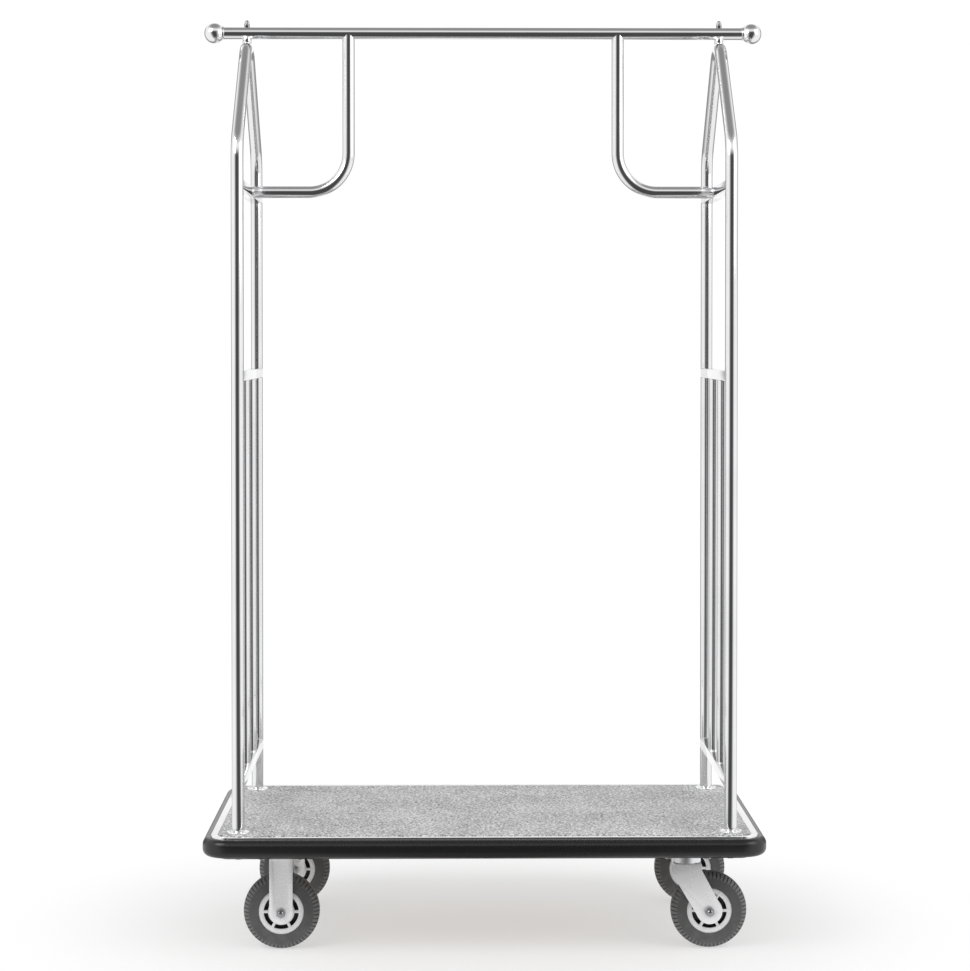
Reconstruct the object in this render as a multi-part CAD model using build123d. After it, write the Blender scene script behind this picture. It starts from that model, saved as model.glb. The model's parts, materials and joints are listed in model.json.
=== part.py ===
from build123d import *

import math
import os

# A hotel luggage cart: a carpeted deck on two rigid and two swivel casters, with two gabled end
# frames, a hanging rail with ball finials and two curved hanger braces.
# Millimetres. X runs along the deck (rigid casters at -X), Y across it, Z up from the floor.

# ---- Overall sizes ----
cart_length = 1100.0
cart_width = 620.0
shoulder_z = 1585.0
gable_peak_z = 1819.3

# ---- Deck ----
frame_height = 25.0
frame_wall = 3.0
frame_flange = 25.0
frame_inset = 18.0
board_thickness = 18.0
carpet_thickness = 4.0
carpet_gap = 0.3
centre_member_width = 40.0
end_member_width = 149.0

# ---- Deck edge ----
bumper_projection = 16.0
bumper_height = 36.0
bumper_rounding = 13.5
bumper_top_drop = 1.0
trim_corner_radius = 35.0
trim_wall = 2.0
trim_band = 13.5
trim_cap = 2.5

# ---- Tubes ----
tube_d = 25.0
tube_wall = 1.5
spindle_d = 22.0
spindle_wall = 1.2
side_rail_width = 25.0
side_rail_height = 20.0
rail_cope = 4.0
post_inset_x = 52.0
post_inset_y = 53.0
shoulder_bend = 75.0
peak_bend = 60.0
shoulder_rail_z = 1502.0
upper_rail_z = 1130.0
lower_rail_z = 334.0
spindle_count = 2
brace_reach = 207.0
brace_bend = 80.0

# ---- Hanging rail ----
saddle_gap = 5.0
saddle_d = 18.0
finial_d = 42.0
finial_overhang = 66.0
spigot_length = 25.0
apex_bolt_d = 6.0
acorn_flats = 10.0
acorn_hex_height = 6.5
acorn_height = 14.0

# ---- Post feet ----
flange_d = 46.0
flange_rim = 1.2
flange_height = 4.2
insert_length = 30.0
post_bolt_d = 10.0

# ---- Casters ----
wheel_d = 150.0
fork_rise = 40.0
tyre_width = 44.0
rim_d = 88.0
rim_inset = 2.0
rim_barrel = 4.0
rim_disc = 5.0
hub_width = 50.0
hub_wall = 8.0
slot_inner_r = 26.0
slot_outer_r = 34.5
slot_count = 6
spoke_width = 5.3
bearing_d = 24.0
bearing_bore = 16.0
bearing_length = 12.0
caster_inset_x = 134.0
caster_inset_y = 94.0
trail = 43.0
plate_length = 100.0
plate_width = 85.0
plate_thickness = 4.0
plate_hole_x = 76.0
plate_hole_y = 60.0
plate_bolt_d = 8.0
hub_play = 0.5
fork_sheet = 3.0
rigid_leg_width = 46.0
recess_depth = 0.8
recess_margin = 8.0
recess_foot = 18.0
swivel_leg_top = 54.0
swivel_leg_end_r = 25.0
crown_thickness = 4.0
crown_drop = 22.0
lower_race_height = 3.0
race_inner_r = 17.0
race_outer_r = 25.5
race_skirt_r = 28.0
ball_d = 6.0
ball_ring_r = 21.3
ball_count = 16
kingpin_d = 12.0
kingpin_head_d = 20.0
kingpin_head_height = 7.0
axle_d = 10.0
nut_flats = 17.0
nut_height = 8.5
axle_end = 8.0

# ---- Fits ----
snug = 0.05
running = 0.05
gap = 0.3
bolt_clearance = 0.5

# ---- Places worked out from the sizes ----
wheel_r = wheel_d / 2
caster_height = wheel_d + fork_rise
fork_gap = hub_width + 2 * hub_play
trim_length = cart_length - 2 * bumper_projection
trim_width = cart_width - 2 * bumper_projection
board_length = trim_length - 2 * trim_wall
board_width = trim_width - 2 * trim_wall
board_radius = trim_corner_radius - trim_wall
frame_bottom_z = caster_height
frame_top_z = frame_bottom_z + frame_height
board_top_z = frame_top_z + board_thickness
deck_top_z = board_top_z + carpet_thickness
bumper_top_z = board_top_z - bumper_top_drop
bumper_bottom_z = bumper_top_z - bumper_height
post_x = trim_length / 2 - post_inset_x
post_y = trim_width / 2 - post_inset_y
caster_x = trim_length / 2 - caster_inset_x
caster_y = trim_width / 2 - caster_inset_y
tube_r = tube_d / 2
tube_inner_r = tube_r - tube_wall
gable_slope = math.atan((gable_peak_z - shoulder_z) / post_y)
crown_z = gable_peak_z - peak_bend * (1 / math.cos(gable_slope) - 1)
rail_z = crown_z + tube_d + saddle_gap
finial_x = post_x + finial_overhang
rail_end_x = finial_x - math.sqrt((finial_d / 2) ** 2 - tube_r**2)
brace_x = post_x - brace_reach
plate_bottom_z = caster_height - plate_thickness
crown_top_z = plate_bottom_z - crown_drop + crown_thickness
crown_bottom_z = crown_top_z - crown_thickness
ball_z = crown_top_z + lower_race_height + gap + ball_d / 2
side_signs = {"left": -1, "right": 1}
end_signs = {"front": -1, "rear": 1}


def save(node, *solids):
    """Write one node; several solids stay separate in it."""
    shape = solids[0] if len(solids) == 1 else Compound(children=list(solids))
    export_step(shape, f"parts/{node}.step")


def rounded_plate(length, width, radius, low_z, high_z):
    """A flat slab with round corners between two heights."""
    return Pos(0, 0, low_z) * extrude(RectangleRounded(length, width, radius), high_z - low_z)


def upright(radius, low_z, high_z, x=0.0, y=0.0):
    """A vertical round bar between two heights."""
    return Pos(x, y, (low_z + high_z) / 2) * Cylinder(radius, high_z - low_z)


def block(low, high):
    """A box between two opposite corners."""
    middle = [(a + b) / 2 for a, b in zip(low, high)]
    return Pos(*middle) * Box(*[b - a for a, b in zip(low, high)])


def bar_along(points, radii, radius):
    """A round bar that follows straight runs joined by arcs."""
    path = FilletPolyline(*points, radius=radii)
    return sweep(Plane(origin=path @ 0, z_dir=path % 0) * Circle(radius), path)


def tube_along(points, radii, outer_d, wall):
    """A round tube that follows straight runs joined by arcs."""
    return bar_along(points, radii, outer_d / 2) - bar_along(points, radii, outer_d / 2 - wall)


def hexagon(flats, height):
    """A hexagonal block standing on the XY plane."""
    return extrude(RegularPolygon(flats / 2, 6, major_radius=False), height)


def corners(dx, dy):
    """The four sign combinations of a point."""
    return [(sx * dx, sy * dy) for sx in (-1, 1) for sy in (-1, 1)]


def turned(points):
    """A body of revolution about Z from its outline of (radius, height) points."""
    return revolve(Plane.XZ * make_face(Polyline(*points, close=True)), Axis.Z)


# ---- Deck ----
def shrunk(outline, inset):
    """Length, width and corner radius of an outline moved inwards."""
    length, width, radius = outline
    return length - 2 * inset, width - 2 * inset, radius - inset


def deck_frame():
    """Pressed channel frame with two end boxes and a centre member, set in under the board."""
    half_x = board_length / 2 - frame_inset
    half_y = board_width / 2 - frame_inset - frame_flange
    bay_out = half_x - frame_flange - end_member_width
    bay_in = centre_member_width / 2
    low, high = frame_bottom_z, frame_top_z
    outline = (board_length, board_width, board_radius)
    frame = rounded_plate(*shrunk(outline, frame_inset), low, high)
    frame -= rounded_plate(*shrunk(outline, frame_inset + frame_wall), low + frame_wall, high - frame_wall)
    for sign in (-1, 1):
        bay = sorted((sign * bay_in, sign * bay_out))
        frame -= block((bay[0], -half_y, low - 1), (bay[1], half_y, high + 1))
        for edge in (bay_in, bay_out + frame_wall):
            web = sorted((sign * edge, sign * (edge - frame_wall)))
            frame += block((web[0], -half_y, low), (web[1], half_y, high))
    for x, y in corners(post_x, post_y):
        frame -= upright(post_bolt_d / 2 + bolt_clearance, low - 1, high + 1, x, y)
    for x, y in plate_bolt_places():
        frame -= upright(plate_bolt_d / 2 + bolt_clearance, low - 1, low + frame_wall + 1, x, y)
    return frame


def plate_bolt_places():
    """Centres of the bolts of all four caster plates."""
    return [
        (cx + dx, cy + dy)
        for cx, cy in corners(caster_x, caster_y)
        for dx, dy in corners(plate_hole_x / 2, plate_hole_y / 2)
    ]


def deck_board():
    """Plywood deck with a hole for each post bolt."""
    board = rounded_plate(board_length, board_width, board_radius, frame_top_z, board_top_z)
    for x, y in corners(post_x, post_y):
        board -= upright(post_bolt_d / 2 + bolt_clearance, frame_top_z - 1, board_top_z + 1, x, y)
    return board


def carpet():
    """Carpet inside the trim band, cut round the post collars."""
    inset = trim_band + carpet_gap
    size = (trim_length - 2 * inset, trim_width - 2 * inset, trim_corner_radius - inset)
    mat = rounded_plate(*size, board_top_z, deck_top_z)
    for x, y in corners(post_x, post_y):
        mat -= upright(flange_d / 2 + carpet_gap, board_top_z - 1, deck_top_z + 1, x, y)
    return mat


def trim_ring():
    """The whole angle-section edge, before it is parted at the corners."""
    top = board_top_z + trim_cap
    ring = rounded_plate(trim_length, trim_width, trim_corner_radius, bumper_bottom_z, top)
    ring -= rounded_plate(board_length, board_width, board_radius, bumper_bottom_z - 1, board_top_z)
    size = (trim_length - 2 * trim_band, trim_width - 2 * trim_band, trim_corner_radius - trim_band)
    return ring - rounded_plate(*size, board_top_z - 1, top + 1)


def edge_pieces():
    """Four straight trims and four corner caps, parted where the corners start."""
    ring = trim_ring()
    in_x = trim_length / 2 - trim_corner_radius
    in_y = trim_width / 2 - trim_corner_radius
    far = cart_length
    low, high = bumper_bottom_z - 1, board_top_z + trim_cap + 1
    straights = [
        ring & block((-in_x, -far, low), (in_x, 0, high)),
        ring & block((-in_x, 0, low), (in_x, far, high)),
        ring & block((-far, -in_y, low), (0, in_y, high)),
        ring & block((0, -in_y, low), (far, in_y, high)),
    ]
    caps = []
    for sx, sy in corners(1, 1):
        span_x = sorted((sx * in_x, sx * far))
        span_y = sorted((sy * in_y, sy * far))
        caps.append(ring & block((span_x[0], span_y[0], low), (span_x[1], span_y[1], high)))
    return straights, caps


def bumper():
    """Half-round rubber buffer all round the deck."""
    radius = trim_corner_radius + bumper_projection
    outer = rounded_plate(cart_length, cart_width, radius, bumper_bottom_z, bumper_top_z)
    rims = outer.faces().sort_by(Axis.Z)
    outer = fillet(rims[0].edges() + rims[-1].edges(), bumper_rounding)
    size = (trim_length, trim_width, trim_corner_radius)
    return outer - rounded_plate(*size, bumper_bottom_z - 1, bumper_top_z + 1)


# ---- End frames ----
def end_hoop(sign):
    """One tube bent into two posts with a gable over them."""
    x = sign * post_x
    points = [
        (x, -post_y, board_top_z),
        (x, -post_y, shoulder_z),
        (x, 0, gable_peak_z),
        (x, post_y, shoulder_z),
        (x, post_y, board_top_z),
    ]
    hoop = tube_along(points, [shoulder_bend, peak_bend, shoulder_bend], tube_d, tube_wall)
    hole = apex_bolt_d / 2 + bolt_clearance / 2
    return hoop - upright(hole, crown_z - tube_d, crown_z + tube_d, x)


def side_rail(sign, height):
    """Rectangular tube between the posts, coped to them."""
    x = sign * post_x
    half = post_y - rail_cope
    wide, tall = side_rail_width / 2, side_rail_height / 2
    rail = block((x - wide, -half, height - tall), (x + wide, half, height + tall))
    wide, tall = wide - tube_wall, tall - tube_wall
    rail -= block((x - wide, -half, height - tall), (x + wide, half, height + tall))
    for y in (-post_y, post_y):
        rail -= upright(tube_r, height - side_rail_height, height + side_rail_height, x, y)
    return rail


def spindles(sign):
    """Round uprights that share the space between the posts equally."""
    low = lower_rail_z + side_rail_height / 2
    high = upper_rail_z - side_rail_height / 2
    pitch = 2 * post_y / (spindle_count + 1)
    bars = []
    for number in range(spindle_count):
        y = -post_y + pitch * (number + 1)
        bar = upright(spindle_d / 2, low, high, sign * post_x, y)
        bars.append(bar - upright(spindle_d / 2 - spindle_wall, low - 1, high + 1, sign * post_x, y))
    return bars


# ---- Hanging rail ----
def along_x(radius, low_x, high_x, height):
    """A round bar parallel to X at Y = 0."""
    return Pos((low_x + high_x) / 2, 0, height) * Rot(0, 90, 0) * Cylinder(radius, high_x - low_x)


def hanging_rail():
    """Straight tube over both crowns, drilled for the crown bolts."""
    rail = along_x(tube_r, -rail_end_x, rail_end_x, rail_z)
    rail -= along_x(tube_inner_r, -rail_end_x - 1, rail_end_x + 1, rail_z)
    for x in (-post_x, post_x):
        rail -= upright(apex_bolt_d / 2 + bolt_clearance / 2, rail_z - tube_d, rail_z + tube_d, x)
    return rail


def finial(sign):
    """Ball with a flat seat on the tube's end and a spigot inside it."""
    ball = Pos(sign * finial_x, 0, rail_z) * Sphere(finial_d / 2)
    seat = sorted((sign * rail_end_x, sign * (finial_x + finial_d)))
    ball &= block((seat[0], -finial_d, rail_z - finial_d), (seat[1], finial_d, rail_z + finial_d))
    inside = sorted((sign * (rail_end_x - spigot_length), sign * finial_x))
    return ball + along_x(tube_inner_r - snug, *inside, rail_z)


def saddle(sign):
    """Spacer between a crown and the rail, shaped to both."""
    x = sign * post_x
    body = upright(saddle_d / 2, crown_z, rail_z, x)
    body -= along_x(tube_r, x - tube_d, x + tube_d, rail_z)
    crown = [(x, -post_y, shoulder_z), (x, 0, gable_peak_z), (x, post_y, shoulder_z)]
    body -= bar_along(crown, [peak_bend], tube_r)
    return body - upright(apex_bolt_d / 2 + bolt_clearance / 2, crown_z, rail_z, x)


def apex_bolt(sign):
    """Bolt up through the crown, the saddle and the rail, with its head under the crown."""
    x = sign * post_x
    head_low = crown_z - tube_r - acorn_hex_height
    bolt = upright(apex_bolt_d / 2, head_low, rail_z + tube_r + acorn_hex_height, x)
    head = Pos(x, 0, head_low) * hexagon(acorn_flats, tube_r)
    crown = [(x, -post_y, shoulder_z), (x, 0, gable_peak_z), (x, post_y, shoulder_z)]
    head -= bar_along(crown, [peak_bend], tube_r)
    head &= upright(acorn_flats, head_low, crown_z - tube_r + 1, x)
    return bolt + head


def acorn_nut(sign):
    """Domed nut, hollowed to sit on the round rail and to take the bolt's end."""
    x = sign * post_x
    low = rail_z + tube_r - acorn_flats / 6
    nut = Pos(x, 0, low) * hexagon(acorn_flats, rail_z + tube_r + acorn_hex_height - low)
    dome_r = acorn_flats / 2
    dome_z = rail_z + tube_r + acorn_height - dome_r
    nut += upright(dome_r, low, dome_z, x) + Pos(x, 0, dome_z) * Sphere(dome_r)
    nut -= along_x(tube_r, x - tube_d, x + tube_d, rail_z)
    return nut - upright(apex_bolt_d / 2 + snug, rail_z, rail_z + tube_r + acorn_hex_height, x)


def hanger_brace(sign):
    """Tube from under the rail down, round a bend and out to the shoulder rail."""
    end_x = sign * (post_x - side_rail_width / 2)
    points = [(sign * brace_x, 0, rail_z), (sign * brace_x, 0, shoulder_rail_z), (end_x, 0, shoulder_rail_z)]
    brace = tube_along(points, [brace_bend], tube_d, tube_wall)
    return brace - along_x(tube_r, *sorted((0, sign * cart_length)), rail_z)


# ---- Post feet ----
def base_flange(x, y):
    """Shallow collar round a post, seated on the board and rising through the carpet."""
    bore = tube_r + snug
    outline = [
        (bore, 0),
        (flange_d / 2, 0),
        (flange_d / 2, carpet_thickness + flange_rim),
        (tube_r + 3, carpet_thickness + flange_height),
        (bore, carpet_thickness + flange_height),
    ]
    return Pos(x, y, board_top_z) * turned(outline)


def post_insert(x, y):
    """Threaded plug in a post's lower end."""
    plug = upright(tube_inner_r - snug, board_top_z, board_top_z + insert_length, x, y)
    return plug - upright(post_bolt_d / 2 + snug, board_top_z, board_top_z + insert_length, x, y)


def post_bolt(x, y):
    """Bolt from under the frame into the plug of a post."""
    head = post_bolt_d * 0.6
    top = board_top_z + insert_length - 5
    shank = upright(post_bolt_d / 2, frame_bottom_z, top, x, y)
    return shank + Pos(x, y, frame_bottom_z - head) * hexagon(post_bolt_d * 1.6, head)


# ---- Casters ----
def caster_plate():
    """Top plate with four holes, centred on the caster's axis."""
    plate = block(
        (-plate_length / 2, -plate_width / 2, plate_bottom_z),
        (plate_length / 2, plate_width / 2, caster_height),
    )
    plate = fillet(plate.edges().filter_by(Axis.Z), 6)
    for x, y in corners(plate_hole_x / 2, plate_hole_y / 2):
        plate -= upright(plate_bolt_d / 2 + bolt_clearance, plate_bottom_z - 1, caster_height + 1, x, y)
    return plate


def across(radius, x, z):
    """A round bar through both legs of a fork, parallel to Y."""
    return Pos(x, 0, z) * Rot(90, 0, 0) * Cylinder(radius, 3 * fork_gap)


def legs(outline):
    """Two upright sheets of one outline, a fork's gap apart."""
    place = (fork_gap + fork_sheet) / 2
    sheet = extrude(Plane.XZ * outline, fork_sheet / 2, both=True)
    return Pos(0, -place, 0) * sheet + Pos(0, place, 0) * sheet


def rigid_fork():
    """Plate and two straight legs with a shallow pressed recess outside."""
    height = plate_bottom_z - wheel_r
    outline = Pos(0, wheel_r + height / 2) * Rectangle(rigid_leg_width, height)
    outline += Pos(0, wheel_r) * Circle(rigid_leg_width / 2)
    fork = caster_plate() + legs(outline) - across(axle_d / 2 + snug, 0, wheel_r)
    recess_high = height - recess_margin - recess_foot
    recess = RectangleRounded(rigid_leg_width - 2 * recess_margin, recess_high, 6)
    centre_z = plate_bottom_z - recess_margin - recess_high / 2
    for sign in (-1, 1):
        face = Pos(0, sign * (fork_gap / 2 + fork_sheet), centre_z)
        fork -= face * extrude(Plane.XZ * recess, recess_depth, both=True)
    return fork


def swivel_fork():
    """Crown with the lower ball race and two trailing legs."""
    top_r = swivel_leg_top / 2
    knee = crown_bottom_z - top_r / 2
    outline = make_hull(
        (Pos(0, knee) * Circle(top_r)).edges() + (Pos(trail, wheel_r) * Circle(swivel_leg_end_r)).edges()
    )
    outline += Pos(0, (knee + crown_top_z) / 2) * Rectangle(swivel_leg_top, crown_top_z - knee)
    outline -= Pos(0, crown_top_z + top_r) * Rectangle(4 * top_r, 2 * top_r)
    half_y = fork_gap / 2 + fork_sheet
    crown = block((-top_r, -half_y, crown_bottom_z), (top_r, half_y, crown_top_z))
    race_top = crown_top_z + lower_race_height
    race = upright(race_outer_r, crown_top_z, race_top) - upright(race_inner_r, crown_top_z, race_top)
    fork = crown + legs(outline) + race
    fork -= upright(kingpin_d / 2 + running, crown_bottom_z - 1, crown_top_z + 1)
    return fork - across(axle_d / 2 + snug, trail, wheel_r)


def race_cup():
    """Upper race with the skirt that covers the balls."""
    low = ball_z + ball_d / 2
    cup = upright(race_skirt_r, low, plate_bottom_z) - upright(kingpin_d, low, plate_bottom_z)
    skirt_low = crown_top_z + 1.5
    skirt = upright(race_skirt_r, skirt_low, low)
    return cup + (skirt - upright(race_outer_r + 2 * gap, skirt_low, low))


def race_balls():
    """Ring of loose balls under the upper race."""
    ring = []
    for number in range(ball_count):
        angle = 2 * math.pi * number / ball_count
        place = (ball_ring_r * math.cos(angle), ball_ring_r * math.sin(angle), ball_z)
        ring.append(Pos(*place) * Sphere(ball_d / 2))
    return ring


def kingpin():
    """Pin held in the plate that the crown turns on."""
    head_top = crown_bottom_z - gap
    pin = upright(kingpin_d / 2, head_top - kingpin_head_height, caster_height)
    pin += upright(kingpin_head_d / 2, head_top - kingpin_head_height, head_top)
    collar = upright(kingpin_d - gap, ball_z + ball_d / 2, plate_bottom_z)
    return pin + collar


def plate_bolt():
    """Caster bolt with its head under the plate."""
    head = plate_bolt_d * 0.65
    top = caster_height + frame_wall + plate_bolt_d
    shank = upright(plate_bolt_d / 2, plate_bottom_z, top)
    return shank + Pos(0, 0, plate_bottom_z - head) * hexagon(plate_bolt_d * 1.6, head)


def plate_nut():
    """Nut of a caster bolt inside the frame."""
    low = caster_height + frame_wall
    nut = Pos(0, 0, low) * hexagon(plate_bolt_d * 1.6, plate_bolt_d * 0.8)
    return nut - upright(plate_bolt_d / 2 + snug, low - 1, low + plate_bolt_d)


def outside_z():
    """Distance from a wheel's mid-plane to the outside of its fork leg."""
    return fork_gap / 2 + fork_sheet


def axle_bolt():
    """Axle bolt, head at the inner leg and threaded end outside; its axis is Z."""
    out = outside_z()
    bolt = upright(axle_d / 2, -out, out + nut_height + axle_end)
    bolt = fillet(bolt.edges().sort_by(Axis.Z)[-1], axle_d / 4)
    return bolt + Pos(0, 0, -out - nut_height * 0.75) * hexagon(nut_flats, nut_height * 0.75)


def axle_nut():
    """Nut on the outer leg; its axis is Z."""
    nut = Pos(0, 0, outside_z()) * hexagon(nut_flats, nut_height)
    nut &= turned([(0, 0), (nut_flats, 0), (nut_flats, 4 * fork_gap), (0, 4 * fork_gap)])
    return nut - upright(axle_d / 2 + snug, 0, 2 * fork_gap)


def axle_sleeve():
    """Spacer tube clamped between the legs, on which the bearings turn."""
    sleeve = Cylinder(bearing_bore / 2 - running, fork_gap)
    return sleeve - Cylinder(axle_d / 2 + snug, fork_gap)


def tyre():
    """Rubber tyre with a smooth sidewall and ribbed shoulders; its axis is Z."""
    half = tyre_width / 2
    wall_r = wheel_r - 14
    ribs = []
    for step in range(3):
        radius = wall_r + 3.4 * step
        width = half - 1.6 * step
        ribs += [(radius + 0.6, width - 1.4), (radius + 1.2, width - 0.5), (radius + 3.2, width - 1.2)]
    side = [(rim_d / 2, half - rim_inset), (rim_d / 2 + 2, half), (wall_r, half), *ribs]
    side += [(wheel_r - 1, half - 9), (wheel_r, half - 12)]
    return turned(side + [(r, -z) for r, z in reversed(side)])


def wheel_hub():
    """Wheel centre: barrel, two slotted discs and a hub for the bearings; its axis is Z."""
    rim_r = rim_d / 2
    half = tyre_width / 2 - rim_inset
    hub_r = bearing_d / 2 + hub_wall
    wheel = Cylinder(rim_r, 2 * half)
    wheel -= Cylinder(rim_r - rim_barrel, 2 * (half - rim_disc))
    slot = Circle(slot_outer_r) - Circle(slot_inner_r)
    for number in range(slot_count):
        spoke = Pos((slot_inner_r + slot_outer_r) / 2, 0) * Rectangle(slot_outer_r, spoke_width)
        slot -= Rot(0, 0, number * 360 / slot_count) * spoke
    wheel -= Pos(0, 0, -hub_width) * extrude(slot, 2 * hub_width)
    return wheel + Cylinder(hub_r, hub_width) - Cylinder(bearing_d / 2, hub_width)


def bearings():
    """A bearing at each end of the hub; their axis is Z."""
    pair = []
    for sign in (-1, 1):
        place = Pos(0, 0, sign * (hub_width - bearing_length) / 2)
        ring = Cylinder(bearing_d / 2 - snug, bearing_length) - Cylinder(bearing_bore / 2, bearing_length)
        pair.append(place * ring)
    return pair


def wheel_place(side, end):
    """Where a wheel's own frame goes: its +Z turns outwards from the cart."""
    x = side_signs[side] * caster_x + (trail if side == "right" else 0)
    sign = end_signs[end]
    return Pos(x, sign * caster_y, wheel_r) * Rot(-90 * sign, 0, 0)


def write_deck():
    save("deck_frame", deck_frame())
    save("deck_board", deck_board())
    save("carpet", carpet())
    straights, caps = edge_pieces()
    save("edge_trims", *straights)
    save("trim_corners", *caps)
    save("bumper", bumper())


def write_superstructure():
    for side, sign in side_signs.items():
        save(f"end_hoop_{side}", end_hoop(sign))
        save(f"shoulder_rail_{side}", side_rail(sign, shoulder_rail_z))
        save(f"upper_rail_{side}", side_rail(sign, upper_rail_z))
        save(f"lower_rail_{side}", side_rail(sign, lower_rail_z))
        save(f"spindles_{side}", *spindles(sign))
        save(f"hanger_brace_{side}", hanger_brace(sign))
    both = side_signs.values()
    save("hanging_rail", hanging_rail())
    save("finials", *[finial(sign) for sign in both])
    save("apex_saddles", *[saddle(sign) for sign in both])
    save("apex_bolts", *[apex_bolt(sign) for sign in both])
    save("acorn_nuts", *[acorn_nut(sign) for sign in both])
    posts = corners(post_x, post_y)
    save("base_flanges", *[base_flange(x, y) for x, y in posts])
    save("post_inserts", *[post_insert(x, y) for x, y in posts])
    save("post_bolts", *[post_bolt(x, y) for x, y in posts])


def write_casters():
    save("caster_bolts", *[Pos(x, y, 0) * plate_bolt() for x, y in plate_bolt_places()])
    save("caster_nuts", *[Pos(x, y, 0) * plate_nut() for x, y in plate_bolt_places()])
    swivels = [Pos(caster_x, sign * caster_y, 0) for sign in end_signs.values()]
    drilled = caster_plate() - upright(kingpin_d / 2 + snug, plate_bottom_z - 1, caster_height + 1)
    save("swivel_plates", *[place * drilled for place in swivels])
    save("race_cups", *[place * race_cup() for place in swivels])
    save("race_balls", *[place * ball for place in swivels for ball in race_balls()])
    save("kingpins", *[place * kingpin() for place in swivels])
    fixed = [wheel_place("left", end) for end in end_signs]
    save("rigid_axle_bolts", *[place * axle_bolt() for place in fixed])
    save("rigid_axle_nuts", *[place * axle_nut() for place in fixed])
    save("rigid_axle_sleeves", *[place * axle_sleeve() for place in fixed])
    for end, sign in end_signs.items():
        save(f"rigid_fork_{end}", Pos(-caster_x, sign * caster_y, 0) * rigid_fork())
        save(f"swivel_fork_{end}", Pos(caster_x, sign * caster_y, 0) * swivel_fork())
        place = wheel_place("right", end)
        save(f"swivel_axle_bolt_{end}", place * axle_bolt())
        save(f"swivel_axle_nut_{end}", place * axle_nut())
        save(f"swivel_axle_sleeve_{end}", place * axle_sleeve())
        for side in side_signs:
            place = wheel_place(side, end)
            save(f"tyre_{side}_{end}", place * tyre())
            save(f"wheel_hub_{side}_{end}", place * wheel_hub())
            save(f"bearings_{side}_{end}", *[place * ring for ring in bearings()])


os.makedirs("parts", exist_ok=True)
write_deck()
write_superstructure()
write_casters()
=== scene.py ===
import json
import math

import bpy
from mathutils import Matrix, Vector


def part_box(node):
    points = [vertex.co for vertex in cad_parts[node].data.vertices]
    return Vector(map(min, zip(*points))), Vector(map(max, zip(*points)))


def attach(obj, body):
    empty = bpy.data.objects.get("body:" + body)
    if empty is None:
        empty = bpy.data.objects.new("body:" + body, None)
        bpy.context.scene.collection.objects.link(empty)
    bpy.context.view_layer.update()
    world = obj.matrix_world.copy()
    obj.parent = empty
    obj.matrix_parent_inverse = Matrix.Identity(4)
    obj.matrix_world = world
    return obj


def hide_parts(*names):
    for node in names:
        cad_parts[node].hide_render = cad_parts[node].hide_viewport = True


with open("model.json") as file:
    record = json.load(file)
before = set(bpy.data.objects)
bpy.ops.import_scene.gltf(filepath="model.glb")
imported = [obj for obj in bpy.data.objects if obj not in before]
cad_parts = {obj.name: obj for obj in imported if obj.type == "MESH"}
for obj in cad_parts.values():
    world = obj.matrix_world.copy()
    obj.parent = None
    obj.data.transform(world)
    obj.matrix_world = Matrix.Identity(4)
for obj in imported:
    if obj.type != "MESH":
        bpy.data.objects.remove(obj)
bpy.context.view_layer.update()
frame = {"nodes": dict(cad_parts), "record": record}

# Looks of a hotel luggage cart. Metres; X along the deck, Y across it, Z up from the floor.
MM = 0.001
SIDES = {"left": -1, "right": 1}
ENDS = {"front": -1, "rear": 1}
X_AXIS, Y_AXIS, Z_AXIS = Vector((1, 0, 0)), Vector((0, 1, 0)), Vector((0, 0, 1))

# Modelling
SPIN_SIGN = -1  # with no window, spin turns against the right-hand rule
MERGE_DISTANCE = 0.01 * MM
SQUARE = 0.99  # a normal this near to an axis counts as square to it
HEXAGON_TURN = math.radians(30)
CUTTER_STRETCH = 4

# Tube shapes that a box can't tell
SHOULDER_Z = 1585 * MM
GABLE_PEAK_Z = 1819.3 * MM
SHOULDER_BEND = 75 * MM
PEAK_BEND = 60 * MM
BRACE_BEND = 80 * MM
TUBE_SIDES = 48
BEND_STEP = math.radians(4)
CROSS_RAIL_ROUNDING = 1.6 * MM
BEAD_HALF = 1.4 * MM
BEAD_EDGE = 0.1 * MM
BEAD_RISE = 0.9 * MM
BEAD_ROWS = 6
BEAD_BITE = 0.3 * MM
BEAD_BACK = 0.8 * MM

# Crown, finials and post feet
DOME_HEIGHT = 7.5 * MM
DOME_INSET = 0.2 * MM
DOME_ROWS = 12
BALL_ROWS = 40
BALL_LEAD = 0.06  # radians from the neck to the ball's first circle
BALL_STOP = 0.02  # radians left open at its pole
NECK_LENGTH = 3.5 * MM
NECK_WALL = 1.2 * MM
COVE_HEIGHT = 3 * MM
COVE_ROWS = 9

# Deck
TRIM_CORNER = 35 * MM
TRIM_ROLL = 0.7 * MM
BUMPER_ROUNDING = 13.5 * MM
BUMPER_BACK_ROUNDING = 0.4 * MM
EDGE_SEGMENTS = 18
MAT_ROWS = 150
MAT_MARGIN = 10 * MM
PILE_RISE = 0.35 * MM
PILE_SEED = 3
PILE_ROLL = (7 * MM, 4.5 * MM, 2.5 * MM)
PILE_DROP = 0.5 * MM

# Tyres: rows of (share of the half width, share of the radius), from the middle to the sidewall
TYRE_ROWS = [
    (0.08, 1.0), (0.16, 0.999), (0.40, 0.992), (0.60, 0.974), (0.76, 0.944), (0.88, 0.902), (0.96, 0.855),
]
SIDEWALL_SHARE = 0.815
RIM_BEAD = 2.5 * MM
TREAD_FACES = 224
TREAD_PITCH = 4
TREAD_DEPTH = 2.8 * MM
GROOVE_DEPTH = 1.6 * MM
CUT_SPAN = (0.40, 0.97)  # shares of the half width
CUT_LEAST_R = 0.82  # shares of the radius
GROOVE_SPAN = (0.08, 0.16)
GROOVE_LEAST_R = 0.9

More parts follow.
